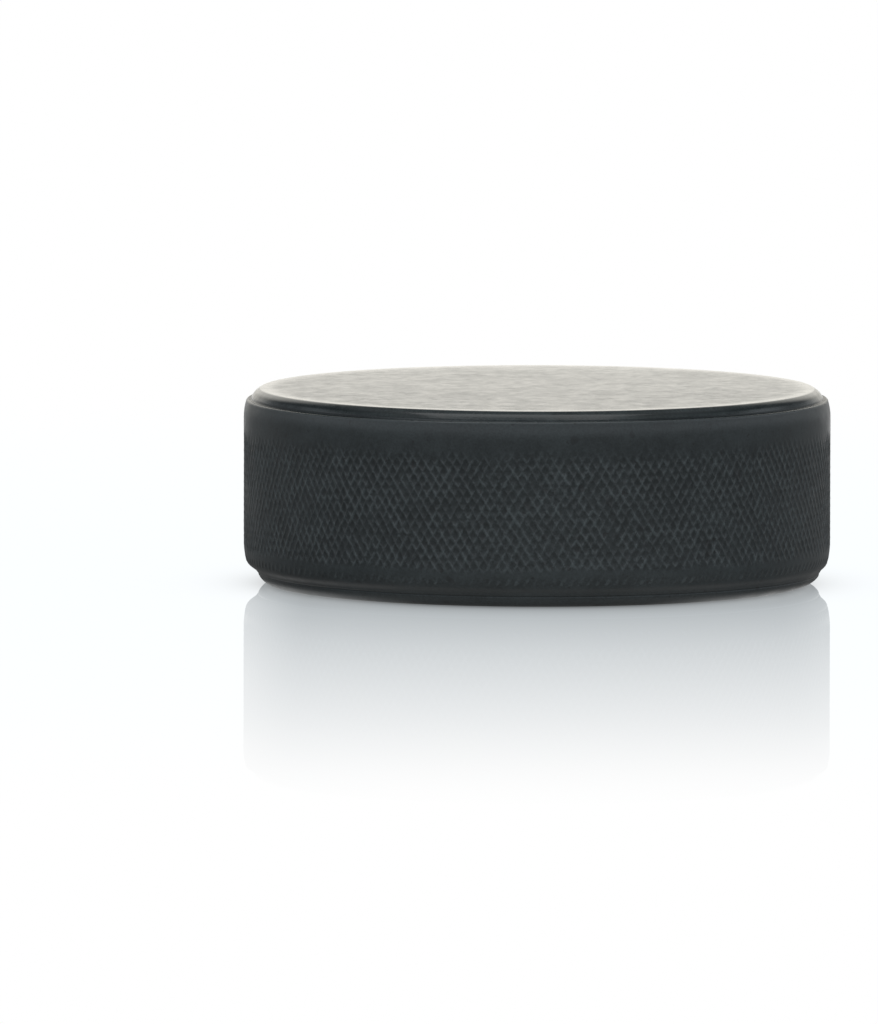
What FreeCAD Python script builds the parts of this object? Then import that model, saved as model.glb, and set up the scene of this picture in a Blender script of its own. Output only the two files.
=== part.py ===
# Ice hockey puck: one compression-moulded disc of vulcanised rubber.
#
# Frame: millimetres, +Z up along the disc's axis, origin at the centre of the
# flat bottom face, on which the puck rests and slides. The solid is one body
# of revolution, so X and Y are interchangeable.
#
# The half section runs from the axis outwards and up the side: flat bottom
# face, rounded edge, bottom rim, small moulding step, sloping lower border,
# rounded lower shoulder, upright side wall (at the crest diameter of the grip
# knurl), rounded upper shoulder, narrow upper lip, shallow groove, short riser,
# chamfer in two angles, flat top face.

import FreeCAD, Part
import os
import Sketcher

# ---------------------------------------------------------------- dimensions
# alias, value in mm, what it is
SIZE_ROWS = [
    ("puck_diameter", 76.2, "regulation diameter, 3 inches, over the knurl crests"),
    ("puck_height", 25.4, "regulation thickness, 1 inch"),
    # upper edge: radii from the axis, depths below the top face
    ("top_face_radius", 35.95, "flat top face, up to its edge"),
    ("top_bevel_radius", 36.5, "where the chamfer turns steeper"),
    ("top_bevel_depth", 0.38, "where the chamfer turns steeper, below the top face"),
    ("top_chamfer_radius", 36.95, "outer end of the top chamfer"),
    ("top_chamfer_depth", 0.88, "outer end of the chamfer, below the top face"),
    ("top_foot_radius", 37.18, "foot of the short riser, at the inner side of the groove"),
    ("top_foot_depth", 1.36, "foot of the riser, below the top face"),
    ("top_groove_radius", 37.36, "bottom of the shallow groove behind the lip"),
    ("top_groove_depth", 1.43, "bottom of the groove, below the top face"),
    ("top_crest_radius", 37.55, "inner edge of the lip's crest"),
    ("top_crest_depth", 1.37, "inner edge of the lip's crest, below the top face"),
    ("top_lip_radius", 37.76, "outer edge of the lip"),
    ("top_lip_depth", 1.53, "outer edge of the lip, below the top face"),
    ("top_shoulder_depth", 3.4, "where the upper shoulder meets the side wall"),
    # lower edge: radii from the axis, heights above the bottom face
    ("low_face_radius", 35.82, "flat bottom face before its edge is rounded"),
    ("low_rim_radius", 36.42, "upper end of the bottom rim"),
    ("low_rim_height", 1.28, "upper end of the bottom rim"),
    ("low_step_radius", 36.4, "hollow of the moulding step over the bottom rim"),
    ("low_step_height", 1.46, "hollow of the moulding step"),
    ("low_lip_radius", 36.6, "outer edge of the moulding step"),
    ("low_lip_height", 1.62, "outer edge of the moulding step"),
    ("low_border_radius", 37.67, "upper end of the sloping lower border"),
    ("low_border_height", 2.76, "upper end of the sloping lower border"),
    ("low_shoulder_height", 5.2, "where the lower shoulder meets the side wall"),
    # fillet radii
    ("face_edge_round", 0.4, "edge of the top face"),
    ("chamfer_round", 0.6, "soft bend between the chamfer's two angles"),
    ("riser_round", 0.12, "edge between the chamfer and the riser"),
    ("foot_round", 0.08, "hollow corner at the foot of the riser"),
    ("low_edge_round", 0.42, "worn edge of the bottom face"),
    ("top_lip_round", 0.12, "edge of the upper lip"),
    ("step_round", 0.1, "hollow corner of the moulding step"),
    ("border_round", 0.5, "soft bend between the lower border and the shoulder"),
]
SIZES = {alias: value for alias, value, note in SIZE_ROWS}


# ---------------------------------------------------------------- half section
# A coordinate is a pair: its value, and the expression that binds it to the
# sheet. The expression is None where a geometric constraint holds it instead.
def size(alias):
    return SIZES[alias], "Sizes." + alias


def below_top(alias):
    return SIZES["puck_height"] - SIZES[alias], "Sizes.puck_height - Sizes." + alias


ON_AXIS = (0.0, None)
ON_BOTTOM = (0.0, None)
WALL_RADIUS = (SIZES["puck_diameter"] / 2, "Sizes.puck_diameter / 2")

# corner, radius (sketch x), height above the bottom face (sketch y)
CORNERS = [
    ("axis_low", ON_AXIS, ON_BOTTOM),
    ("low_face", size("low_face_radius"), ON_BOTTOM),
    ("low_rim", size("low_rim_radius"), size("low_rim_height")),
    ("low_step", size("low_step_radius"), size("low_step_height")),
    ("low_lip", size("low_lip_radius"), size("low_lip_height")),
    ("low_border", size("low_border_radius"), size("low_border_height")),
    ("wall_low", WALL_RADIUS, size("low_shoulder_height")),
    ("wall_top", (WALL_RADIUS[0], None), below_top("top_shoulder_depth")),
    ("top_lip", size("top_lip_radius"), below_top("top_lip_depth")),
    ("top_crest", size("top_crest_radius"), below_top("top_crest_depth")),
    ("top_groove", size("top_groove_radius"), below_top("top_groove_depth")),
    ("top_foot", size("top_foot_radius"), below_top("top_foot_depth")),
    ("top_chamfer", size("top_chamfer_radius"), below_top("top_chamfer_depth")),
    ("top_bevel", size("top_bevel_radius"), below_top("top_bevel_depth")),
    ("top_face", size("top_face_radius"), size("puck_height")),
    ("axis_top", ON_AXIS, (SIZES["puck_height"], None)),
]
POINTS = {name: FreeCAD.Vector(radius[0], height[0], 0) for name, radius, height in CORNERS}

# The shoulders are the arcs that leave these corners; other edges are straight.
SHOULDER_STARTS = ("low_border", "wall_top")

# Sketcher's numbers for the ends of an edge, and for the sketch's origin
START, END = 1, 2
ORIGIN = (-1, 1)

# ---------------------------------------------------------------- fillets
# feature, corner of the half section, fillet radius; applied in this order
FILLETS = [
    ("TopFaceEdge", "top_face", "face_edge_round"),
    ("BottomFaceEdge", "low_face", "low_edge_round"),
    ("ChamferBend", "top_bevel", "chamfer_round"),
    ("RiserEdge", "top_chamfer", "riser_round"),
    ("RiserFoot", "top_foot", "foot_round"),
    ("UpperLip", "top_lip", "top_lip_round"),
    ("LowerStep", "low_step", "step_round"),
    ("LowerBorder", "low_border", "border_round"),
]
EDGE_MATCH = 1e-4  # how closely a circle has to match its corner

# how far the finished puck may stray from its regulation sizes
DIAMETER_SLACK = 0.02
HEIGHT_SLACK = 0.001


def make_sheet(doc):
    """The spreadsheet that drives the sketch and the fillets."""
    sheet = doc.addObject("Spreadsheet::Sheet", "Sizes")
    sheet.Label = "Sizes"
    for column, title in zip("ABC", ("name", "mm", "what it is")):
        sheet.set(column + "1", title)
    for line, (alias, value, note) in enumerate(SIZE_ROWS, start=2):
        sheet.set("A%d" % line, alias)
        sheet.set("B%d" % line, str(value))
        sheet.setAlias("B%d" % line, alias)
        sheet.set("C%d" % line, note)
    doc.recompute()


def origin_plane(body, role):
    for feature in body.Origin.OriginFeatures:
        if feature.Role == role:
            return feature
    raise RuntimeError("no origin plane " + role)


def shoulder_arc(start, end):
    """Arc between two corners, tangent to the upright wall at the outer one."""
    wall_point, inner_point = (start, end) if start.x > end.x else (end, start)
    fall = wall_point.x - inner_point.x
    rise = inner_point.y - wall_point.y
    radius = (fall * fall + rise * rise) / (2.0 * fall)
    middle_height = (start.y + end.y) / 2.0
    reach = (radius * radius - (middle_height - wall_point.y) ** 2) ** 0.5
    middle = FreeCAD.Vector(wall_point.x - radius + reach, middle_height, 0)
    return Part.Arc(start, middle, end)


def draw_edges(sketch):
    """Draw the closed outline; returns each edge's number by its starting corner."""
    names = list(POINTS)
    edges = {}
    for name, following in zip(names, names[1:] + names[:1]):
        draw = shoulder_arc if name in SHOULDER_STARTS else Part.LineSegment
        edges[name] = sketch.addGeometry(draw(POINTS[name], POINTS[following]), False)
    return edges


def join_edges(sketch, edges):
    """Close the outline, hold it to the origin and set its straight directions."""
    def constrain(*terms):
        sketch.addConstraint(Sketcher.Constraint(*terms))

    # the wall's ends are held by the tangent joints below
    names = list(edges)
    for name, following in zip(names, names[1:] + names[:1]):
        if "wall_low" not in (name, following):
            constrain("Coincident", edges[name], END, edges[following], START)

    constrain("Coincident", edges["axis_low"], START, *ORIGIN)
    constrain("Horizontal", edges["axis_low"])
    constrain("Vertical", edges["wall_low"])
    constrain("Horizontal", edges["top_face"])
    constrain("Vertical", edges["axis_top"])

    # both shoulders run into the wall without a corner
    constrain("Tangent", edges["low_border"], END, edges["wall_low"], START)
    constrain("Tangent", edges["wall_low"], END, edges["wall_top"], START)


def bind_corners(sketch, edges):
    """Bind each corner's distances from the origin to the sheet."""
    for name, radius, height in CORNERS:
        for kind, suffix, (value, expression) in (
            ("DistanceX", "_radius", radius),
            ("DistanceY", "_height", height),
        ):
            if expression is None:
                continue
            index = sketch.addConstraint(
                Sketcher.Constraint(kind, *ORIGIN, edges[name], START, value))
            sketch.renameConstraint(index, name + suffix)
            sketch.setExpression("Constraints." + name + suffix, expression)


def make_half_section(doc, body):
    sketch = body.newObject("Sketcher::SketchObject", "HalfSection")
    sketch.AttachmentSupport = [(origin_plane(body, "XZ_Plane"), "")]
    sketch.MapMode = "FlatFace"
    doc.recompute()
    edges = draw_edges(sketch)
    join_edges(sketch, edges)
    bind_corners(sketch, edges)
    doc.recompute()
    if sketch.FullyConstrained is not True:
        raise RuntimeError("the half section is not fully constrained")
    return sketch


def circles_at(shape, radius, height):
    """Names of the circular edges of a given radius and height."""
    found = []
    for number, edge in enumerate(shape.Edges, start=1):
        curve = edge.Curve
        if curve.TypeId != "Part::GeomCircle":
            continue
        same_radius = abs(curve.Radius - radius) < EDGE_MATCH
        if same_radius and abs(curve.Center.z - height) < EDGE_MATCH:
            found.append("Edge%d" % number)
    return found


def round_corner(doc, body, base, name, corner, alias):
    """Fillet the circle that one corner of the half section sweeps."""
    point = POINTS[corner]
    edges = circles_at(base.Shape, point.x, point.y)
    if not edges:
        raise RuntimeError("%s: no edge at radius %.3f, height %.3f" % (name, point.x, point.y))
    fillet = body.newObject("PartDesign::Fillet", name)
    fillet.Base = (base, edges)
    fillet.Radius = SIZES[alias]
    fillet.setExpression("Radius", "Sizes." + alias)
    doc.recompute()
    return fillet


def make_puck(doc):
    """The half section turned about the axis, with its edges rounded."""
    body = doc.addObject("PartDesign::Body", "PuckBody")
    body.Label = "puck_body"
    sketch = make_half_section(doc, body)

    disc = body.newObject("PartDesign::Revolution", "Disc")
    disc.Profile = sketch
    disc.ReferenceAxis = (sketch, ["V_Axis"])
    disc.Angle = 360.0
    sketch.Visibility = False
    doc.recompute()

    feature = disc
    for name, corner, alias in FILLETS:
        feature = round_corner(doc, body, feature, name, corner, alias)
    body.Tip = feature
    doc.recompute()
    return body


def require_sound(doc, body):
    """Stop on a failed object, an open solid or a puck of the wrong size."""
    for thing in doc.Objects:
        bad = [word for word in thing.State if word in ("Invalid", "Error")]
        if bad:
            raise RuntimeError("%s is %s" % (thing.Label, ", ".join(bad)))

    shape = body.Shape
    if shape.isNull() or not shape.isValid():
        raise RuntimeError(body.Label + " has no valid shape")
    if len(shape.Solids) != 1 or not shape.Solids[0].isClosed():
        raise RuntimeError(body.Label + " is not one closed solid")

    # a loose bounding box is larger than a round solid, so the tight one is read
    box = shape.optimalBoundingBox(False, False)
    if (abs(box.XLength - SIZES["puck_diameter"]) > DIAMETER_SLACK
            or abs(box.ZLength - SIZES["puck_height"]) > HEIGHT_SLACK
            or abs(box.ZMin) > HEIGHT_SLACK):
        raise RuntimeError("the puck's box is wrong: %s" % box)


# ---------------------------------------------------------------- build and export
document = FreeCAD.newDocument("hockey_puck")
make_sheet(document)
puck = make_puck(document)
require_sound(document, puck)

os.makedirs("parts", exist_ok=True)
puck.Shape.exportStep("parts/" + puck.Label + ".step")
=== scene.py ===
# A black rubber puck with a band of crossing grip ridges round its wall.
# It lies flat on a pale floor: its axis is Z, its front is -Y and its right is +X.
# The puck is worked out in millimetres, as radius, angle and height about its axis;
# the floor, lights, camera and materials are in metres.
import bpy, bmesh, math
import numpy as np
from mathutils import Vector, Matrix, noise


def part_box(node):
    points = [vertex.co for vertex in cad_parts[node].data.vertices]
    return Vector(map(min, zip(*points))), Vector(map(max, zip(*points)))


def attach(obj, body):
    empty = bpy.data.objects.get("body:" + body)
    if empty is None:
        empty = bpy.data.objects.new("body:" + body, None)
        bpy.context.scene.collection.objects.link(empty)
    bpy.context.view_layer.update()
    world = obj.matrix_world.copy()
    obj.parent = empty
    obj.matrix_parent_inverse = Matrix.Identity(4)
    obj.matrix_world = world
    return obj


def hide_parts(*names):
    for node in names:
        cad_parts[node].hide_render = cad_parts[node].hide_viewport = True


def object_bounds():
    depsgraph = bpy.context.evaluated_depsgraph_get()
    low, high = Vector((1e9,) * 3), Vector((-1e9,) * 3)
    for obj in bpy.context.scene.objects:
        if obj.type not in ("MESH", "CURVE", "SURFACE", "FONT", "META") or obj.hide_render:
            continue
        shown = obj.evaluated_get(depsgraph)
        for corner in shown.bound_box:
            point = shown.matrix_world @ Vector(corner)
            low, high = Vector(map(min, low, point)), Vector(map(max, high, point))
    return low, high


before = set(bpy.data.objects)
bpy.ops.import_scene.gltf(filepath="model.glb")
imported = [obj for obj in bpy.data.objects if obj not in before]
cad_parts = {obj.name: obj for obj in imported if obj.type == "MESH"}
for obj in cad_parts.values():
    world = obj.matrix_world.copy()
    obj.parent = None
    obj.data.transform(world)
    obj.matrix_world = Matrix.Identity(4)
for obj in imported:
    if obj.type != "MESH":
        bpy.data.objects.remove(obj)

cad_lo, cad_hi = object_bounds()

# ---------------------------------------------------------------------------
# Sizes of the puck, in millimetres
# ---------------------------------------------------------------------------
MM = 0.001
TURN = 2 * math.pi
node_lo, node_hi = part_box("puck_body")
RADIUS = round((node_hi[1] - node_lo[1]) / 2 / MM, 2)     # of the wall's ridge crests
TALL = round((node_hi[2] - node_lo[2]) / MM, 2)           # face to face

TOP_BEND_START, TOP_BEND = TALL - 3.4, 4.99    # height and radius of the upper shoulder
LOW_BEND_START, LOW_BEND = 5.2, 7.50           # and of the lower one

COLS = 360                                     # columns of the smooth rings
COL_ANGLES = np.arange(COLS) * TURN / COLS
FACE_CELLS = COLS // 4                         # grid squares across a flat face

# The two families of ridges, A and B, lean opposite ways and cross in the grip band.
STARTS_A, STARTS_B = 195, 201                  # ridges counted round the wall
RISE_A, RISE_B = 0.526, -0.459                 # ridges met per mm going up
AROUND_A = STARTS_A / (TURN * RADIUS)          # ridges met per mm going round
AROUND_B = STARTS_B / (TURN * RADIUS)
CROSSING = AROUND_A * RISE_B - RISE_A * AROUND_B
STEPS = (0.0, 0.15, 0.5, 0.85)                 # crest, flank foot, pit, flank foot
RIDGE = 0.12                                   # ridge height over the pits
CREST_AWAY = (0.0, 0.07, 0.15, 0.30, 0.5)      # cross section: share of a pitch away,
CREST_SHARE = (1.0, 0.75, 0.32, 0.10, 0.0)     # and share of the full height there
SKIN = 0.004                                   # the skin lies this far inside the wall

BAND_LOW = 3.0         # the band's crisp lower end
BAND_TOP = 21.3        # where its last trace has faded
SHEET_SPARE = 0.9      # extra sheet beyond both ends, cut off afterwards
SNAP = 0.055           # points this close to an end are pulled on to it
FADE = 2.7             # height over which the ridges fade out at the top
STOP = 4.85            # mean height where the crossing ridges stop
TIPS_TOP = 4.2         # below this only the row of short ridge tips is left
STRIP_DIP = 0.03       # the smooth strip over the tips lies this far below the crests


# ---------------------------------------------------------------------------
# Shaping functions
# ---------------------------------------------------------------------------
def wall_radius(z):
    """Radius of the wall through the ridge crests, with both rounded shoulders."""
    z = np.asarray(z, float)
    radius = np.full(z.shape, RADIUS)
    for past, bend in ((z - TOP_BEND_START, TOP_BEND), (LOW_BEND_START - z, LOW_BEND)):
        rounded = RADIUS - bend + np.sqrt(np.clip(bend ** 2 - past ** 2, 0, None))
        radius = np.where(past > 0, rounded, radius)
    return radius


def smooth(x, start, end):
    """Smooth step from 0 at start to 1 at end."""
    share = np.clip((np.asarray(x, float) - start) / (end - start), 0, 1)
    return share * share * (3 - 2 * share)


def lumps(angle, z, scale, seed, octaves=1):
    """Soft noise on the wall, -1 to 1, the same at 0 and at a full turn."""
    values = np.empty(len(angle))
    x, y = np.cos(angle) * RADIUS, np.sin(angle) * RADIUS
    for i in range(len(angle)):
        spot = Vector((x[i] / scale + seed, y[i] / scale - seed, z[i] / scale + 3.1 * seed))
        total, weight, weights = 0.0, 1.0, 0.0
        for _ in range(octaves):
            total += weight * noise.noise(spot)
            weights += weight
            weight *= 0.5
            spot = spot * 2.03
        values[i] = total / weights
    return values


# ---------------------------------------------------------------------------
# Building blocks of the mesh
# ---------------------------------------------------------------------------
# the wear value also carries painted light: high for a pale lip with a painted highlight, low
# for painted shade in the grooves
points = []            # (radius, angle, z, wear, polish, line_a, line_b, band)
faces = []


def add_point(radius, angle, z, wear_and_painted_light, polish=0.0, line_a=0.0, line_b=0.0, band=0.0):
    points.append((radius, angle, z, wear_and_painted_light, polish, line_a, line_b, band))
    return len(points) - 1


def turn_of(point):
    return points[point][1] % TURN


def add_ring(radius, z, wave, rise, wear_and_painted_light, seed, polish=0.0, lean=0.0, climb=0.0):
    """A ring of COLS points. wave and rise let the radius and height wander a little;
    lean moves it out on the +X side and in on the other; climb lifts it."""
    level = np.full(COLS, z)
    out = lumps(COL_ANGLES, level, scale=9.0, seed=seed, octaves=2) * wave
    out = out + lean * np.cos(COL_ANGLES)
    lift = lumps(COL_ANGLES, level, scale=9.0, seed=seed + 50, octaves=2) * rise
    height = z + lift + climb
    wear_and_painted_light = np.broadcast_to(wear_and_painted_light, COLS)
    return [add_point(radius + out[k], COL_ANGLES[k], height[k], wear_and_painted_light[k], polish)
            for k in range(COLS)]


def join_rings(lower, upper):
    """Quads between two rings of the same columns, facing out."""
    for k in range(len(lower)):
        after = (k + 1) % len(lower)
        faces.append([lower[k], lower[after], upper[after], upper[k]])


def zip_rings(lower, upper):
    """Triangles between two rings of unlike columns."""
    def closed(ring):
        ring = sorted(ring, key=turn_of)
        angles = [turn_of(point) for point in ring]
        return ring + ring[:1], angles + [angles[0] + TURN]

    low, low_angles = closed(lower)
    high, high_angles = closed(upper)
    i = j = 0
    while i < len(lower) or j < len(upper):
        if j == len(upper) or (i < len(lower) and low_angles[i + 1] <= high_angles[j + 1]):
            faces.append([low[i], low[i + 1], high[j]])
            i += 1
        else:
            faces.append([low[i], high[j + 1], high[j]])
            j += 1


# ---------------------------------------------------------------------------
# The grip band: a sheet whose mesh lines run along the ridges, so that every
# crest, flank and pit has its own row of points
# ---------------------------------------------------------------------------
def step_value(k):
    """Ridge count at lattice row k."""
    return k // len(STEPS) + STEPS[k % len(STEPS)]


def band_lattice():
    """Angles, heights and quads of the sheet before it is cut to the band."""
    per_ridge = len(STEPS)
    wrap_a, wrap_b = STARTS_A * per_ridge, STARTS_B * per_ridge
    z_from, z_to = BAND_LOW - SHEET_SPARE, BAND_TOP + SHEET_SPARE
    numbers = {}
    counts = []
    for i in range(wrap_a):
        count_a = step_value(i)
        ends = [(z * CROSSING + AROUND_B * count_a) / AROUND_A for z in (z_from, z_to)]
        first = math.floor(min(ends)) * per_ridge - per_ridge
        last = math.ceil(max(ends)) * per_ridge + per_ridge
        for j in range(first, last + 1):
            count_b = step_value(j)
            z = (AROUND_A * count_b - AROUND_B * count_a) / CROSSING
            if z_from <= z <= z_to:
                numbers[(i, j)] = len(counts)
                counts.append((count_a, count_b))

    def find(i, j):
        """Point number at (i, j); a full turn is i + wrap_a, j + wrap_b."""
        if i >= wrap_a:
            i, j = i - wrap_a, j - wrap_b
        return numbers.get((i, j))

    quads = []
    for i, j in numbers:
        quad = (find(i, j), find(i + 1, j), find(i + 1, j + 1), find(i, j + 1))
        if None not in quad:
            quads.append(quad)

    count_a, count_b = np.array(counts).T
    arc = (RISE_B * count_a - RISE_A * count_b) / CROSSING
    height = (AROUND_A * count_b - AROUND_B * count_a) / CROSSING
    for end in (BAND_LOW, BAND_TOP):           # so that cutting leaves no slivers
        height[np.abs(height - end) < SNAP] = end
    return arc / RADIUS, height, quads


def cut_band():
    """The sheet cut to the band: places, faces, and the points of its two ends."""
    angle, height, quads = band_lattice()
    sheet = bmesh.new()
    spots = [sheet.verts.new((RADIUS * math.cos(a), RADIUS * math.sin(a), z))
             for a, z in zip(angle, height)]
    for quad in quads:
        sheet.faces.new([spots[k] for k in quad])
    for end, is_low in ((BAND_LOW, True), (BAND_TOP, False)):
        bmesh.ops.bisect_plane(
            sheet, geom=sheet.verts[:] + sheet.edges[:] + sheet.faces[:], dist=1e-4,
            plane_co=(0, 0, end), plane_no=(0, 0, 1),
            clear_inner=is_low, clear_outer=not is_low)
    loose = [v for v in sheet.verts if not v.link_faces]
    bmesh.ops.delete(sheet, geom=loose, context="VERTS")
    bmesh.ops.triangulate(sheet, faces=[f for f in sheet.faces if len(f.verts) > 4])
    sheet.verts.ensure_lookup_table()
    sheet.verts.index_update()
    places = np.array([v.co[:] for v in sheet.verts])
    cut_faces = [[v.index for v in f.verts] for f in sheet.faces]
    ends = [[v.index for v in sheet.verts if abs(v.co.z - end) < 1e-4]
            for end in (BAND_LOW, BAND_TOP)]
    sheet.free()
    return places, cut_faces, ends


def band_relief(angle, z):
    """Radius, nearness to a ridge of each family, and strength of the band."""
    def patchy(mean, swing, limits, **lump):
        return np.clip(mean + swing * lumps(angle, z, **lump), *limits)

    count_a = AROUND_A * angle * RADIUS + RISE_A * z
    count_b = AROUND_B * angle * RADIUS + RISE_B * z
    away_a = np.abs(count_a - np.round(count_a))
    away_b = np.abs(count_b - np.round(count_b))
    crest_a = np.interp(away_a, CREST_AWAY, CREST_SHARE)
    crest_b = np.interp(away_b, CREST_AWAY, CREST_SHARE)
    strong_a = patchy(0.95, 1.15, limits=(0.25, 1.25), scale=2.6, seed=4.7, octaves=2)
    strong_b = patchy(0.95, 1.15, limits=(0.25, 1.25), scale=2.6, seed=8.9, octaves=2)

    # the crossing ridges fade out at the top and stop short of the lower border
    fade_line = BAND_TOP - 0.40 + 0.9 * lumps(angle, z, scale=4.0, seed=21.0, octaves=2)
    main = 1 - smooth(z, fade_line - FADE, fade_line)
    main *= 1 - smooth(z, BAND_TOP - 0.25, BAND_TOP)
    level = np.zeros(len(angle))
    stop_line = STOP + 0.7 * lumps(angle, level, scale=9.0, seed=33.0, octaves=2)
    over_stop = smooth(z, stop_line - 0.35, stop_line + 0.45)
    main *= over_stop
    # under a narrow smooth strip, the B ridges end in a row of short tips, A ones in places
    tips = patchy(1.0, 0.9, limits=(0.3, 1.3), scale=3.0, seed=51.0, octaves=2)
    tips = (1 - smooth(z, 3.70, 4.05)) * tips
    tips_a = patchy(0.25, 1.1, limits=(0.0, 0.8), scale=6.0, seed=57.0)

    clear = (1 - np.clip(crest_a * strong_a, 0, 1)) * (1 - np.clip(crest_b * strong_b, 0, 1))
    ridge = 0.85 * (1 - clear) + 0.15 * crest_a * crest_b
    ridge_low = 1 - (1 - crest_a * tips_a) * (1 - crest_b)
    upper = z > TIPS_TOP
    both_ridges = np.where(upper, ridge, ridge_low)
    # parts of the band are flatter
    flatter = patchy(0.92, 0.55, limits=(0.45, 1.15), scale=7.0, seed=11.3, octaves=2)
    depth = RIDGE * (main * flatter + 0.60 * np.clip(tips, 0, 1))
    grain = lumps(angle, z, scale=0.55, seed=2.2) * 0.022 * main
    radius = wall_radius(z) - depth * (1 - both_ridges) + grain * (1 - ridge) - SKIN
    radius -= STRIP_DIP * smooth(z, 3.6, 4.0) * (1 - over_stop)
    radius = np.minimum(radius, wall_radius(z))

    line_a = (1 - 2 * away_a) * np.clip(0.45 + 0.6 * strong_a, 0.5, 1.2)
    line_a = line_a * np.where(upper, 1.0, tips_a)
    line_b = (1 - 2 * away_b) * np.clip(0.45 + 0.6 * strong_b, 0.5, 1.2)
    return radius, line_a, line_b, np.minimum(1.0, main + 0.75 * tips)


def add_band():
    """Adds the band and returns the points of its lower and upper ends."""
    places, cut_faces, ends = cut_band()
    angle = np.arctan2(places[:, 1], places[:, 0])
    z = places[:, 2]
    radius, line_a, line_b, band = band_relief(angle, z)
    # the ridges are not quite straight, except at the ends of the band
    inside = smooth(z, BAND_LOW, BAND_LOW + 0.5) * (1 - smooth(z, BAND_TOP - 0.5, BAND_TOP))

    def drift(fine_seed, broad_seed):
        fine = lumps(angle, z, scale=1.7, seed=fine_seed) * 0.085
        broad = lumps(angle, z, scale=9.0, seed=broad_seed) * 0.12
        return (fine + broad) * inside

    drift_arc = drift(fine_seed=71.0, broad_seed=73.0)
    drift_z = drift(fine_seed=77.0, broad_seed=79.0)
    angle = angle + drift_arc / RADIUS
    z = z + drift_z
    for k in range(len(z)):
        add_point(radius[k], angle[k], z[k], wear_and_painted_light=0.5,
                  line_a=line_a[k], line_b=line_b[k], band=band[k])
    faces.extend(cut_faces)
    return ends


# ---------------------------------------------------------------------------
# Above the band: smooth wall, shoulder, lip, ledge, riser, chamfer, face edge
# ---------------------------------------------------------------------------
UPPER_WALL = (21.42, 21.75, 22.1, 22.45, 22.8, 23.1, 23.35, 23.55)    # ring heights

# radius, drop below the upper face, wave, rise, wear with painted light (high: wear and a
# painted highlight, low: painted shade)
TOP_EDGE = [
    (37.815, 1.790, 0.012, 0.010, 0.60), (37.790, 1.700, 0.014, 0.010, 0.75),
    (37.757, 1.630, 0.016, 0.010, 1.0), (37.710, 1.572, 0.016, 0.010, 1.0),
    (37.650, 1.520, 0.014, 0.010, 0.8), (37.585, 1.485, 0.012, 0.010, 0.6),
    (37.525, 1.475, 0.012, 0.010, 0.35), (37.455, 1.500, 0.010, 0.008, 0.0),
    (37.360, 1.520, 0.008, 0.008, 0.0), (37.250, 1.500, 0.008, 0.008, 0.0),
    (37.165, 1.465, 0.008, 0.008, 0.0), (37.115, 1.395, 0.008, 0.008, 0.0),
    (37.095, 1.290, 0.008, 0.008, 0.0), (37.078, 1.175, 0.008, 0.008, 0.0),
    (37.045, 1.085, 0.010, 0.008, 0.15), (36.990, 0.995, 0.012, 0.008, 0.5),
    (36.925, 0.890, 0.012, 0.008, 0.7), (36.855, 0.775, 0.014, 0.008, 0.26),
    (36.765, 0.640, 0.014, 0.008, 0.15), (36.66, 0.52, 0.014, 0.008, 0.15),
    (36.50, 0.38, 0.014, 0.008, 0.22), (36.32, 0.25, 0.014, 0.006, 0.50),
    (36.16, 0.152, 0.014, 0.004, 0.75), (36.04, 0.084, 0.014, 0.004, 0.7),
    (35.955, 0.042, 0.014, 0.003, 0.9), (35.880, 0.018, 0.014, 0.002, 1.0),
    (35.790, 0.006, 0.012, 0.001, 0.9), (35.650, 0.002, 0.004, 0.000, 0.7),
]
# the lip climbs most at the front and a little way round to +X:
# degrees from the front towards +X, and climb there
CLIMB_AROUND = ([-180, -90, -60, -40, -20, -5, 15, 35, 55, 90, 180],
                [0.10, 0.06, 0.05, 0.05, 0.15, 0.23, 0.24, 0.19, 0.15, 0.13, 0.10])
# drop below the upper face, and share of the climb taken there
CLIMB_SHARE = ([1.10, 1.21, 1.33, 1.43, 1.50, 1.72, 1.85, 2.1],
               [0.0, 0.15, 0.4, 0.75, 1.0, 1.0, 0.5, 0.0])
# height, and polish there
POLISH_AT = ([TALL - 1.75, TALL - 1.5, TALL - 1.0, TALL - 0.3], [0.0, 0.55, 0.75, 1.0])


def add_top(band_end):
    """Rings from the band's upper end to the upper face; returns the last one."""
    rows = []
    for z in UPPER_WALL:
        ease = float(smooth(z, BAND_TOP, 22.6))      # leaves the band without a crease
        radius = float(wall_radius(z)) - SKIN - 0.016 * ease
        rows.append((radius, z, 0.002 + 0.008 * ease, 0.0, 0.6))
    rows += [(radius, TALL - drop, *rest) for radius, drop, *rest in TOP_EDGE]

    around = np.degrees((COL_ANGLES + TURN / 4 + math.pi) % TURN) - 180.0
    climb = np.interp(around, *CLIMB_AROUND)
    # painted shade in the groove: deeper at the sides, lighter in the middle of the front
    less_groove_shade = 0.24 * (1 - smooth(np.abs(around + 5), 18, 38))
    ring = None
    for radius, z, wave, rise, wear_and_painted_light in rows:
        fresh = add_ring(radius, z, wave, rise, np.maximum(wear_and_painted_light, less_groove_shade), seed=31.0 + z * 0.13,
                         polish=float(np.interp(z, *POLISH_AT)),
                         climb=climb * float(np.interp(TALL - z, *CLIMB_SHARE)))
        if ring is None:
            zip_rings(band_end, fresh)
        else:
            join_rings(ring, fresh)
        ring = fresh
    return ring
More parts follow.
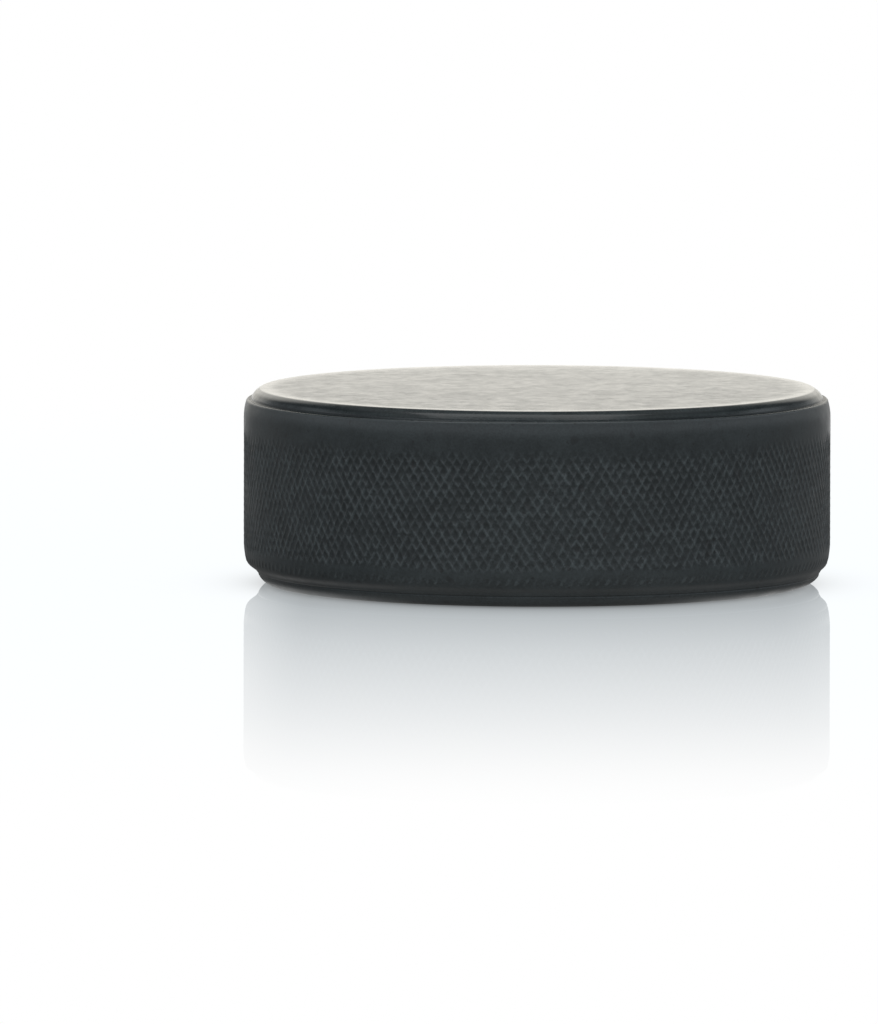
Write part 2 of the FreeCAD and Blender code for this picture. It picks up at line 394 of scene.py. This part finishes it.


# ---------------------------------------------------------------------------
# Below the band: the ridges end, then the lower border, lip, ledge and rim
# ---------------------------------------------------------------------------
# radius, z, wave, rise, wear with painted light (low: painted shade in the groove)
LOW_EDGE = [
    (37.665, 2.76, 0.010, 0.0, 0.5), (37.490, 2.52, 0.012, 0.0, 0.5),
    (37.220, 2.28, 0.012, 0.0, 0.5), (36.935, 2.06, 0.012, 0.0, 0.5),
    (36.760, 1.89, 0.014, 0.004, 0.5), (36.680, 1.76, 0.016, 0.006, 0.5),
    (36.620, 1.67, 0.018, 0.008, 0.45), (36.575, 1.61, 0.018, 0.010, 0.32),
    (36.515, 1.57, 0.016, 0.010, 0.26), (36.450, 1.53, 0.012, 0.010, 0.23),
    (36.405, 1.47, 0.012, 0.010, 0.21), (36.400, 1.40, 0.012, 0.008, 0.26),
    (36.420, 1.33, 0.012, 0.006, 0.36), (36.410, 1.24, 0.012, 0.004, 0.5),
    (36.340, 1.09, 0.010, 0.0, 0.5), (36.225, 0.92, 0.010, 0.0, 0.5),
    (36.080, 0.75, 0.010, 0.0, 0.5), (35.900, 0.58, 0.010, 0.0, 0.5),
    (35.680, 0.41, 0.012, 0.0, 0.5), (35.410, 0.25, 0.012, 0.0, 0.6),
    (35.100, 0.120, 0.012, 0.0, 0.6), (34.760, 0.036, 0.010, 0.0, 0.6),
    (34.400, 0.004, 0.004, 0.0, 0.6),
]
# the lower edge is rubbed down further on the left (-X): height, and lean there
LEAN_AT = ([0.05, 0.5, 1.1, 1.5, 1.9, 2.4, 3.0, 3.3],
           [0.0, 0.17, 0.25, 0.22, 0.19, 0.10, 0.0, 0.0])


def add_bottom(band_end):
    """Rings from the band's lower end to the lower face; returns the last one."""
    order = sorted(band_end, key=turn_of)
    pit = float(wall_radius(BAND_LOW)) - RIDGE * 0.62
    foot = []
    for point in order:
        radius, angle, z = points[point][:3]
        foot.append(add_point(min(pit, radius - 0.01), angle, z - 0.07, wear_and_painted_light=0.45, band=0.2))
    join_rings(foot, order)
    ring = None
    for radius, z, wave, rise, wear_and_painted_light in LOW_EDGE:
        fresh = add_ring(radius, z, wave, rise, wear_and_painted_light, seed=61.0 + z * 0.13,
                         lean=float(np.interp(z, *LEAN_AT)))
        if ring is None:
            zip_rings(fresh, foot)
        else:
            join_rings(fresh, ring)
        ring = fresh
    return ring


# ---------------------------------------------------------------------------
# Flat faces
# ---------------------------------------------------------------------------
FACE_DIP = 0.044                                      # depth of the soft hollows
FACE_WAVES = ((14.0, 0.35), (4.5, 0.22), (1.9, 0.13))    # size, weight


def add_face(rim, z, side, noise_level):
    """A square grid drawn out to a disc, sharing its rim's points; side is 1 up, -1 down."""
    size = FACE_CELLS
    rim_radius = sum(points[v][0] for v in rim) / len(rim)
    grid = {}
    for i in range(size + 1):
        for j in range(size + 1):
            x, y = 2 * i / size - 1, 2 * j / size - 1
            reach = max(abs(x), abs(y))
            if reach == 0:
                angle = 0.0
            elif abs(x) >= abs(y):
                angle = (math.pi / 4) * (y / x) + (0 if x > 0 else math.pi)
            else:
                angle = math.pi / 2 - (math.pi / 4) * (x / y) + (0 if y > 0 else math.pi)
            if i in (0, size) or j in (0, size):
                column = int(round((angle % TURN) / (TURN / COLS))) % COLS
                grid[(i, j)] = rim[column]
                continue
            radius = reach * rim_radius
            spot = Vector((radius * math.cos(angle), radius * math.sin(angle), noise_level))
            wave = sum(noise.noise(spot / length) * weight for length, weight in FACE_WAVES)
            calm = float(smooth(1 - reach, 0.0, 0.06))      # flat where it meets the rim
            dip = (0.5 + 0.5 * wave) * FACE_DIP * calm
            grid[(i, j)] = add_point(radius, angle, z - side * dip, wear_and_painted_light=0.6, polish=side)
    for i in range(size):
        for j in range(size):
            quad = [grid[(i, j)], grid[(i + 1, j)], grid[(i + 1, j + 1)], grid[(i, j + 1)]]
            faces.append(quad[::side])


# ---------------------------------------------------------------------------
# One closed mesh
# ---------------------------------------------------------------------------
def puck_mesh():
    low_end, top_end = add_band()
    top_rim = add_top(top_end)
    low_rim = add_bottom(low_end)
    add_face(top_rim, z=TALL - 0.002, side=1, noise_level=17.0)
    add_face(low_rim, z=0.002, side=-1, noise_level=-23.0)

    data = np.array(points)
    radius, angle, z = data[:, :3].T
    places = np.stack([radius * np.cos(angle), radius * np.sin(angle), z], -1)
    foot = ((node_lo[0] + node_hi[0]) / 2, (node_lo[1] + node_hi[1]) / 2, node_lo[2])
    places = places * MM + np.array([round(part, 5) for part in foot])
    made = bpy.data.meshes.new("puck_body_rubber")
    made.from_pydata(places.tolist(), [], faces)
    made.validate()
    for column, name in enumerate(("wear_and_painted_light", "polish", "line_a", "line_b", "band"), start=3):
        layer = made.attributes.new(name, "FLOAT", "POINT")
        layer.data.foreach_set("value", data[:, column].astype(np.float32))

    work = bmesh.new()
    work.from_mesh(made)
    bmesh.ops.recalc_face_normals(work, faces=work.faces)
    middle = Vector((0, 0, TALL * MM / 2))
    if sum(f.calc_area() * f.normal.dot(f.calc_center_median() - middle)
           for f in work.faces) < 0:
        bmesh.ops.reverse_faces(work, faces=work.faces)
    if not all(edge.is_manifold for edge in work.edges):
        raise RuntimeError("the puck's mesh is not closed")
    work.to_mesh(made)
    work.free()
    for polygon in made.polygons:
        polygon.use_smooth = True
    return made


mesh = puck_mesh()
puck = bpy.data.objects.new("puck_rubber", mesh)
bpy.context.scene.collection.objects.link(puck)
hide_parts("puck_body")
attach(puck, "root")


# ---------------------------------------------------------------------------
# Node trees
# ---------------------------------------------------------------------------
class Graph:
    """Short names for building a node tree."""

    def __init__(self, tree):
        self.tree = tree
        tree.nodes.clear()

    def node(self, kind, **settings):
        made = self.tree.nodes.new("ShaderNode" + kind)
        for key, value in settings.items():
            setattr(made, key, value)
        return made

    def feed(self, socket, value):
        if hasattr(value, "links"):
            self.tree.links.new(value, socket)
        else:
            socket.default_value = value

    def math(self, operation, *values, clamp=False):
        made = self.node("Math", operation=operation, use_clamp=clamp)
        for k, value in enumerate(values):
            self.feed(made.inputs[k], value)
        return made.outputs[0]

    def plus(self, value, more, clamp=False):
        return self.math("ADD", value, more, clamp=clamp)

    def times(self, value, by, clamp=False):
        return self.math("MULTIPLY", value, by, clamp=clamp)

    def ramp(self, value, span=(0.0, 1.0), to=(0.0, 1.0), kind="SMOOTHSTEP"):
        """Carries value from the span to the range in to."""
        made = self.node("MapRange", interpolation_type=kind)
        names = ("Value", "From Min", "From Max", "To Min", "To Max")
        for name, setting in zip(names, (value, *span, *to)):
            self.feed(made.inputs[name], setting)
        return made.outputs["Result"]

    def noise(self, vector, scale, detail, rough, distortion=0.0):
        made = self.node("TexNoise", noise_dimensions="3D")
        names = ("Vector", "Scale", "Detail", "Roughness", "Distortion")
        for name, setting in zip(names, (vector, scale, detail, rough, distortion)):
            self.feed(made.inputs[name], setting)
        return made.outputs[0]

    def mix(self, factor, first, second):
        made = self.node("Mix", data_type="RGBA")
        for k, value in ((0, factor), (6, first), (7, second)):
            self.feed(made.inputs[k], value)
        return made.outputs[2]

    def split(self, vector):
        made = self.node("SeparateXYZ")
        self.feed(made.inputs[0], vector)
        return made.outputs

    def attribute(self, name):
        return self.node("Attribute", attribute_name=name).outputs["Fac"]


def new_material(name):
    """A material, its graph and its surface socket."""
    material = bpy.data.materials.new(name)
    material.use_nodes = True
    net = Graph(material.node_tree)
    return material, net, net.node("OutputMaterial").inputs["Surface"]


# ---------------------------------------------------------------------------
# Rubber
# ---------------------------------------------------------------------------
RUBBER_DARK = (0.0110, 0.0160, 0.0172, 1.0)
RUBBER_LIGHT = (0.0338, 0.0444, 0.0470, 1.0)
# painted shade for the pits between the ridges
PIT_SHADE = (0.0085, 0.0130, 0.0140, 1.0)
# painted highlight for the ridge crests
CREST_HIGHLIGHT = (0.075, 0.094, 0.098, 1.0)
# pale lip: wear and a painted highlight
WORN_AND_LIT_LIP = (0.062, 0.076, 0.080, 1.0)
# painted shade for the grooves and creases
GROOVE_SHADE = (0.0085, 0.0120, 0.0130, 1.0)
POCK = (0.008, 0.010, 0.011, 1.0)
NEUTRAL = (1.0, 1.0, 1.0, 1.0)
WARM_BLOOM = (1.0, 0.980, 0.975, 1.0)
COOL_BLOOM = (0.980, 1.0, 0.985, 1.0)


def rubber_ground(net, place, z, band, blotch, specks, grain):
    """The mottled colour under everything else."""
    cloud = net.noise(place, scale=90.0, detail=3.0, rough=0.55)      # broad clouds of bloom
    tone = net.plus(net.ramp(blotch, span=(0.3, 0.75), to=(0.05, 0.38)),
                    net.ramp(cloud, span=(0.3, 0.7), to=(0.0, 0.22)))
    speckle = net.ramp(specks, span=(0.25, 0.75), to=(-0.28, 0.30))
    tone = net.plus(tone, net.times(speckle, net.ramp(band, to=(0.30, 1.0))))
    moulding = net.ramp(grain, span=(0.3, 0.7), to=(-0.30, 0.34))
    tone = net.plus(tone, net.times(moulding, net.ramp(band, to=(0.55, 1.0))), clamp=True)
    tone = net.plus(tone, net.ramp(band, to=(0.10, -0.05)))
    # painted highlight: the strip with the ridges' tips is painted paler
    tip_highlight = net.times(net.ramp(z, span=(0.0028, 0.0033)), net.ramp(z, span=(0.0054, 0.0043)))
    tone = net.plus(tone, net.times(tip_highlight, by=0.17), clamp=True)
    return net.mix(tone, RUBBER_DARK, RUBBER_LIGHT)


def ridge_colour(net, colour, band, fleck, specks):
    """Painted shade in the pits and a painted highlight on the crests, lightest where two
    cross; also the crest mask.
    """
    line_a = net.attribute("line_a")
    line_b = net.attribute("line_b")
    crest_a = net.times(net.ramp(line_a, span=(0.62, 0.95)), band)
    crest_b = net.times(net.ramp(line_b, span=(0.62, 0.95)), band)
    crest = net.math("MAXIMUM", crest_a, crest_b)
    cross = net.times(crest_a, crest_b)
    # painted shade: the pits between the ridges are darkened
    low = net.times(net.ramp(net.math("MAXIMUM", line_a, line_b), span=(0.72, 0.25)), band)
    pit = net.times(low, net.ramp(specks, span=(0.25, 0.75), to=(0.05, 0.60)))
    colour = net.mix(pit, colour, PIT_SHADE)
    # painted highlight: the crests are lightened, most where two cross
    crest_highlight = net.times(crest, net.ramp(fleck, span=(0.35, 0.68), to=(0.02, 0.48)))
    cross_highlight = net.times(cross, net.ramp(specks, span=(0.35, 0.7), to=(0.0, 0.40)))
    crest_highlight = net.plus(crest_highlight, cross_highlight, clamp=True)
    return net.mix(crest_highlight, colour, CREST_HIGHLIGHT), crest


def wear_and_painted_light_colour(net, colour, place, wear_and_painted_light, polish, fleck):
    """Pale lip edges, worn and with a painted highlight, painted shade in the grooves, and
    small pocks.
    """
    # pale lip and face edge: wear and a painted highlight
    worn_and_lit = net.times(net.ramp(wear_and_painted_light, span=(0.65, 1.0)),
                     net.ramp(fleck, span=(0.25, 0.7), to=(0.55, 0.85)))
    colour = net.mix(net.times(worn_and_lit, by=0.5), colour, WORN_AND_LIT_LIP)
    # painted shade in the grooves and creases, where the wear value is low
    colour = net.mix(net.ramp(wear_and_painted_light, span=(0.35, 0.0), to=(0.0, 0.75)), colour, GROOVE_SHADE)
    pock = net.times(net.ramp(fleck, span=(0.665, 0.72)), net.ramp(polish, span=(0.6, 0.1)))
    nick = net.noise(place, scale=480.0, detail=1.0, rough=0.4)
    nick = net.times(net.ramp(nick, span=(0.70, 0.745)), net.ramp(polish, span=(0.6, 0.1)))
    pock = net.math("MAXIMUM", pock, net.times(nick, by=0.7))
    return net.mix(net.times(pock, by=0.85), colour, POCK)


def rubber_roughness(net, polish, blotch, fleck, from_axis):
    base_wall, base_face = 0.40, 0.20
    wall = net.plus(base_wall, net.ramp(blotch, span=(0.2, 0.8), to=(-0.05, 0.07)))
    face = net.plus(base_face, net.ramp(blotch, span=(0.25, 0.75), to=(-0.035, 0.045)))
    face = net.plus(face, net.ramp(fleck, span=(0.25, 0.75), to=(-0.03, 0.04)))
    # the faces are rubbed smoother towards the rim
    rim = net.ramp(from_axis, span=(0.0340, 0.0354))
    face = net.plus(face, net.times(rim, by=-0.05))
    mixed = net.node("Mix", data_type="FLOAT")
    for k, value in ((0, polish), (2, wall), (3, face)):
        net.feed(mixed.inputs[k], value)
    return mixed.outputs[0]


def rubber_burnish(net, from_axis, y, z):
    """The upper face is burnished, most of all near its edge and at the back."""
    burnish = net.plus(net.ramp(from_axis, span=(0.0325, 0.0357), to=(0.03, 0.52)),
                       net.ramp(y, span=(-0.014, 0.004), to=(0.0, 0.09)))
    burnish = net.plus(burnish, net.ramp(y, span=(0.020, 0.033), to=(0.0, 0.26)), clamp=True)
    return net.times(burnish, net.ramp(z, span=(0.02530, 0.02536)))


def rubber():
    material, net, surface = new_material("vulcanised_rubber_black")
    skin = net.node("BsdfPrincipled")
    net.feed(surface, skin.outputs[0])
    place = net.node("TexCoord").outputs["Object"]
    x, y, z = net.split(place)
    from_axis = net.math("SQRT", net.plus(net.times(x, x), net.times(y, y)))
    wear_and_painted_light = net.attribute("wear_and_painted_light")
    polish = net.math("ABSOLUTE", net.attribute("polish"))
    band = net.attribute("band")
    # mottling a few mm across, two finer sizes of spot, and moulding grain
    blotch = net.noise(place, scale=300.0, detail=3.0, rough=0.6, distortion=0.4)
    fleck = net.noise(place, scale=850.0, detail=2.0, rough=0.6)
    specks = net.noise(place, scale=1700.0, detail=1.0, rough=0.5)
    grain = net.noise(place, scale=3600.0, detail=2.0, rough=0.6)

    colour = rubber_ground(net, place, z, band, blotch, specks, grain)
    colour, crest = ridge_colour(net, colour, band, fleck, specks)
    colour = wear_and_painted_light_colour(net, colour, place, wear_and_painted_light, polish, fleck)
    # the bloom on the faces shifts a little from warm to cool
    cast = net.plus(net.ramp(blotch, span=(0.35, 0.65), to=(-0.30, 0.30)),
                    net.ramp(x, span=(-0.03, 0.03), to=(0.2, 0.8)), clamp=True)
    cast = net.mix(cast, WARM_BLOOM, COOL_BLOOM)

    bump = net.node("Bump")
    bump.inputs["Strength"].default_value = 0.4
    bump.inputs["Distance"].default_value = 0.00003
    height = net.plus(net.times(grain, by=0.5), net.times(fleck, by=0.35))
    height = net.plus(height, net.times(crest, by=1.2))
    net.feed(bump.inputs["Height"], height)

    for name, value in (
            ("Base Color", colour),
            ("Roughness", rubber_roughness(net, polish, blotch, fleck, from_axis)),
            ("IOR", 1.5),
            ("Coat Weight", rubber_burnish(net, from_axis, y, z)),
            ("Coat Roughness", 0.17),
            # the grooves shine less, a painted shade on their reflections
            ("Specular IOR Level", net.ramp(wear_and_painted_light, span=(0.0, 0.35), to=(0.16, 0.5))),
            ("Specular Tint", net.mix(polish, NEUTRAL, cast)),
            ("Normal", bump.outputs[0])):
        net.feed(skin.inputs[name], value)
    return material


mesh.materials.append(rubber())

# ---------------------------------------------------------------------------
# Floor: a polished white sheet that fades into the backdrop
# ---------------------------------------------------------------------------
WHITE = 1.0            # brightness of floor and backdrop to the camera
FLOOR_GLOW = 0.240     # how bright the floor is to the puck
FLOOR_DROP = 0.00002   # gap under the puck
MIRROR_REACH = 0.3     # distance from the puck's axis where the mirroring ends
# distance as a share of MIRROR_REACH, and strength of the mirroring there
MIRROR_FADE = [(0.0, 0.57), (0.12, 0.57), (0.167, 0.50), (0.31, 0.365), (0.46, 0.265),
               (0.61, 0.175), (0.76, 0.085), (0.885, 0.025), (1.0, 0.0)]
FRESNEL_FULL = 0.613   # Fresnel value that counts as full mirroring
MIRROR_TINT = (0.94, 1.0, 1.035, 1)


def mirror_share(net, away, x, to_camera):
    """How much the sheet mirrors: less with distance and beyond the puck's sides."""
    curve = net.node("FloatCurve")
    net.feed(curve.inputs["Value"], net.times(away, by=1 / MIRROR_REACH, clamp=True))
    line = curve.mapping.curves[0]
    line.points[0].location = MIRROR_FADE[0]
    line.points[1].location = MIRROR_FADE[-1]
    for spot in MIRROR_FADE[1:-1]:
        line.points.new(*spot)
    curve.mapping.update()
    fresnel = net.node("Fresnel")
    fresnel.inputs["IOR"].default_value = 1.5
    share = net.times(curve.outputs[0], net.times(fresnel.outputs[0], by=1 / FRESNEL_FULL))
    share = net.times(share, to_camera)
    share = net.times(share, net.ramp(x, span=(-0.0400, -0.0290), to=(0.62, 1.0)))
    return net.times(share, net.ramp(x, span=(0.0310, 0.0400), to=(1.0, 0.84)))


def floor_glow(net, away, x, y):
    """Brightness of the floor as the puck meets it."""
    back = net.math("DIVIDE", y, net.math("MAXIMUM", away, 0.001))
    # the bright part behind the puck reaches further round on the +X side
    reach = net.ramp(x, span=(-0.01, 0.01), to=(0.85, 0.78))
    bright = net.times(net.ramp(back, span=(reach, 0.985)), by=1.30)
    glow = net.plus(FLOOR_GLOW, bright)
    # close to the puck it is brighter in front and, away from there, dimmer towards -X
    near = net.times(net.ramp(back, span=(-0.98, -0.55), to=(1.55, 0.80)),
                     net.ramp(x, span=(0.005, 0.035), to=(1.0, 1.3)))
    glow = net.times(glow, net.ramp(away, span=(0.038, 0.110), to=(near, 1.0)))
    # under the rounded foot it is brighter at the sides
    foot = net.ramp(net.math("ABSOLUTE", x), span=(0.013, 0.030), to=(0.20, 0.85))
    return net.ramp(away, span=(0.0354, 0.0366), to=(foot, glow))


def contact_shade(net, away):
    """The soft shade where the puck stands on the sheet."""
    start, fall, depth = 0.0350, 0.0028, 0.62    # radius, falloff length, darkening
    gap = net.math("DIVIDE", net.math("SUBTRACT", away, start), -fall)
    shade = net.math("EXPONENT", net.math("MINIMUM", gap, 0.0))
    return net.times(net.math("MULTIPLY_ADD", shade, -depth, 1.0), by=WHITE)


def floor_material():
    material, net, surface = new_material("pale_floor")
    place = net.node("TexCoord").outputs["Object"]
    length = net.node("VectorMath", operation="LENGTH")
    net.feed(length.inputs[0], place)
    away = length.outputs["Value"]
    x, y, _ = net.split(place)
    to_camera = net.node("LightPath").outputs["Is Camera Ray"]
    share = mirror_share(net, away, x, to_camera)

    shine = net.node("BsdfGlossy")
    shine.inputs["Color"].default_value = NEUTRAL
    shine.inputs["Roughness"].default_value = 0.0
    plain = net.node("Emission")
    tint = net.mix(net.ramp(share, span=(0.0, 0.5), kind="LINEAR"), NEUTRAL, MIRROR_TINT)
    net.feed(plain.inputs["Color"], tint)
    looks = (floor_glow(net, away, x, y), contact_shade(net, away))    # to puck, to camera
    net.feed(plain.inputs["Strength"], net.ramp(to_camera, to=looks, kind="LINEAR"))
    both = net.node("MixShader")
    for k, value in enumerate((share, plain.outputs[0], shine.outputs[0])):
        net.feed(both.inputs[k], value)
    net.feed(surface, both.outputs[0])
    return material


floor_mesh = bpy.data.meshes.new("floor")
disc = bmesh.new()
bmesh.ops.create_circle(disc, cap_ends=True, segments=128, radius=3.0)
disc.to_mesh(floor_mesh)
disc.free()
floor = bpy.data.objects.new("floor", floor_mesh)
bpy.context.scene.collection.objects.link(floor)
floor.location.z = cad_lo.z - FLOOR_DROP
floor_mesh.materials.append(floor_material())

# ---------------------------------------------------------------------------
# World: white to the camera, a studio to the puck
# ---------------------------------------------------------------------------
PANEL = (1.02, 0.985, 0.90, 1)         # colour of the bright panel behind the puck
PANEL_ASIDE = math.radians(2.0)        # it stands this far to the left (-X)
RING_POWER = 1.03
# red, green and blue shares of the room's light and of the ring's
DIM_TINTS = ((0.975, 0.945), (1.01, 1.0), (1.03, 1.075))


def studio_light(net):
    """Colour of the light from each direction."""
    x, y, z = net.split(net.node("TexCoord").outputs["Generated"])
    flat = net.math("SQRT", net.plus(net.times(x, x), net.times(y, y)))
    flat = net.math("MAXIMUM", flat, 0.001)
    behind = net.math("DIVIDE", y, flat)
    toward = net.math("SUBTRACT", net.times(y, by=math.cos(PANEL_ASIDE)),
                      net.times(x, by=math.sin(PANEL_ASIDE)))
    toward = net.math("DIVIDE", toward, flat)
    panel = net.times(net.ramp(toward, span=(0.835, 0.985)), net.ramp(z, span=(0.78, 0.50)))

    # a soft ring of light part of the way up, faint behind
    ring = net.times(net.ramp(z, span=(0.04, 0.28)), net.ramp(z, span=(0.62, 0.46)))
    aside, offset = 0.15, 0.05         # the ring reaches further back on the +X side
    shift = net.math("MULTIPLY_ADD", net.math("MAXIMUM", x, 0.0), aside, offset)
    turned = net.math("SUBTRACT", behind, shift)
    ring = net.times(ring, net.ramp(turned, span=(0.62, 0.15), to=(0.04, 1.0)))
    ring = net.times(ring, by=RING_POWER)

    # a little light from all round, more from low in front, low beside the panel and overhead
    front = net.times(net.ramp(behind, span=(0.0, -0.9)), net.ramp(z, span=(0.6, 0.1)))
    skirt = net.times(net.ramp(behind, span=(0.25, 0.60)), net.ramp(z, span=(0.34, 0.16)))
    skirt = net.times(skirt, net.ramp(toward, span=(0.96, 0.86)))
    ceiling = net.times(
        net.ramp(z, span=(0.66, 0.82)),
        net.ramp(net.math("ABSOLUTE", behind), span=(0.95, 0.55), to=(0.50, 1.7)))
    room = net.plus(net.times(front, by=0.13),
                    net.ramp(behind, span=(0.7, 0.0), to=(0.11, 0.18)))
    room = net.plus(room, net.times(skirt, net.ramp(x, span=(-0.3, 0.3), to=(0.28, 0.37))))
    room = net.plus(room, net.times(ceiling, by=0.22))

    dim_light = net.node("CombineXYZ")
    for k, (room_share, ring_share) in enumerate(DIM_TINTS):
        channel = net.math("MULTIPLY_ADD", room, room_share, net.times(ring, by=ring_share))
        net.feed(dim_light.inputs[k], channel)
    total = net.node("VectorMath", operation="ADD")
    net.feed(total.inputs[0], net.mix(panel, (0, 0, 0, 1), PANEL))
    net.feed(total.inputs[1], dim_light.outputs[0])
    return total.outputs[0]


def build_world():
    world = bpy.data.worlds.new("studio")
    bpy.context.scene.world = world
    world.use_nodes = True
    net = Graph(world.node_tree)
    out = net.node("OutputWorld")
    seen = net.node("Background")
    seen.inputs["Color"].default_value = NEUTRAL
    seen.inputs["Strength"].default_value = WHITE
    lit = net.node("Background")
    lit.inputs["Strength"].default_value = 1.0
    net.feed(lit.inputs["Color"], studio_light(net))
    path = net.node("LightPath").outputs
    clear = net.math("MAXIMUM", path["Is Camera Ray"], path["Is Singular Ray"])
    both = net.node("MixShader")
    for k, value in enumerate((clear, lit.outputs[0], seen.outputs[0])):
        net.feed(both.inputs[k], value)
    net.feed(out.inputs["Surface"], both.outputs[0])


build_world()


def overhead_softbox():
    """A soft lamp above and a little in front, aimed at the origin."""
    place = Vector((-0.04, -0.22, 1.0))
    lamp = bpy.data.lights.new("overhead", "AREA")
    lamp.shape = "RECTANGLE"
    lamp.size, lamp.size_y = 1.05, 0.66
    lamp.energy = 3.15
    softbox = bpy.data.objects.new("overhead", lamp)
    softbox.location = place
    softbox.rotation_mode = "QUATERNION"
    softbox.rotation_quaternion = (-place).to_track_quat("-Z", "Y")
    softbox.visible_camera = False
    bpy.context.scene.collection.objects.link(softbox)


overhead_softbox()

# ---------------------------------------------------------------------------
# Camera: a long lens in front, a little above the floor
# ---------------------------------------------------------------------------
DISTANCE = 4.0
ELEVATION = math.radians(5.0)
ROLL = math.radians(0.11)
LENS = 1082.8125                       # focal length in mm
# the puck's middle sits this far right of and above the view's centre
PUCK_RIGHT, PUCK_UP = 0.012714286, 0.003480519


def add_camera():
    camera_data = bpy.data.cameras.new("camera")
    camera_data.sensor_fit = "AUTO"
    camera_data.sensor_width = 36.0
    camera_data.lens = LENS
    camera_data.clip_start = 0.5
    camera_data.clip_end = 12.0
    camera = bpy.data.objects.new("camera", camera_data)
    focus = Vector((0, 0, TALL * MM / 2))
    eye = focus + Vector((0, -math.cos(ELEVATION), math.sin(ELEVATION))) * DISTANCE
    base = (focus - eye).normalized().to_track_quat("-Z", "Y").to_matrix()
    # turn the camera so that the puck's middle lands at its place in the view
    aim = Vector((PUCK_RIGHT / DISTANCE, PUCK_UP / DISTANCE, -1)).normalized()
    turn = aim.rotation_difference(Vector((0, 0, -1))).to_matrix()
    rotation = base @ turn @ Matrix.Rotation(ROLL, 3, "Z")
    camera.matrix_world = Matrix.Translation(eye) @ rotation.to_4x4()
    bpy.context.scene.collection.objects.link(camera)
    bpy.context.scene.camera = camera


add_camera()

view = bpy.context.scene.view_settings
view.view_transform = "Standard"
view.look = "None"
view.exposure = 0.0
view.gamma = 1.0
